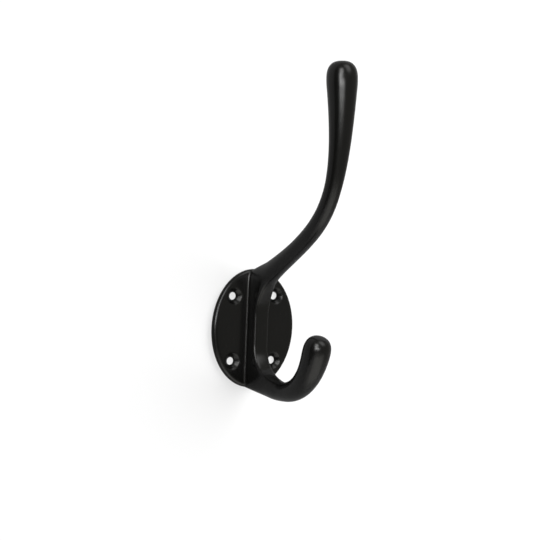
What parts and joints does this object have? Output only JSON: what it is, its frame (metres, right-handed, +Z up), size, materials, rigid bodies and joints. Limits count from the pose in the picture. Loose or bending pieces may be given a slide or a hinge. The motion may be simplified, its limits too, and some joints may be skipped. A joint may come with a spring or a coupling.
{
  "type": "hat hook",
  "caption": "Cast wall hook with an oval screw plate, a tall sweeping hat arm and a short upturned coat hook, each swelling to a rounded end.",
  "frame": {"origin": "middle of the backplate's back face, on the wall", "axes": "+Z up, +Y into the wall, so the arms reach out towards -Y; X runs across the plate"},
  "size_m": [0.0428, 0.071, 0.151],
  "materials": {
    "paint": "satin black powder coat on cast metal"
  },
  "bodies": {
    "root": {"hat_hook": "paint"}
  },
  "joints": []
}
